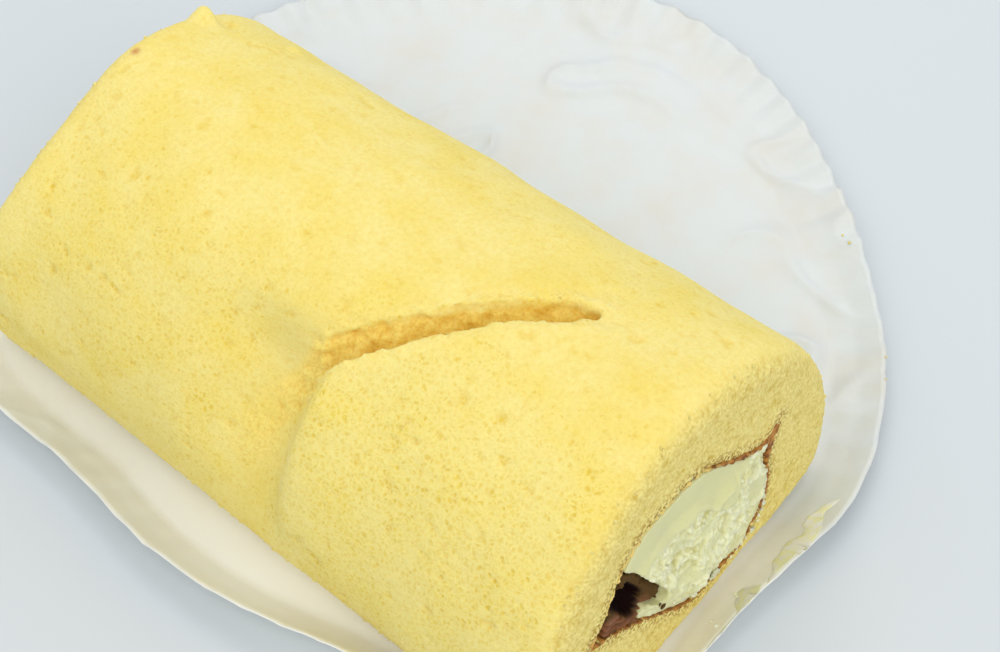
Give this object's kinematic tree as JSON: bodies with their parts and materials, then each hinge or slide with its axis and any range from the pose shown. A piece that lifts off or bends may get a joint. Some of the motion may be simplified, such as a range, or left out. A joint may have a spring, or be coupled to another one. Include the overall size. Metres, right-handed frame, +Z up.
{
  "type": "chocolate pineapple roll cake",
  "caption": "Small sponge roll cake filled with cream and chocolate, with a pressed dent in its top, lying on its fluted paper case.",
  "frame": {"origin": "on the table under the middle of the paper case's bounding box", "axes": "+Z up; the roll lies along X on the -Y side of the paper, with the open end that shows its filling at +X"},
  "size_m": [0.1322, 0.13, 0.0416],
  "materials": {
    "sponge": "porous pale yellow baked sponge, matt",
    "cream": "soft whipped cream, satin",
    "chocolate": "soft dark chocolate, glossy",
    "paper": "thin white greaseproof paper, faint sheen"
  },
  "bodies": {
    "root": {"sponge": "sponge", "cream": "cream", "chocolate": "chocolate", "paper_case": "paper"}
  },
  "joints": []
}
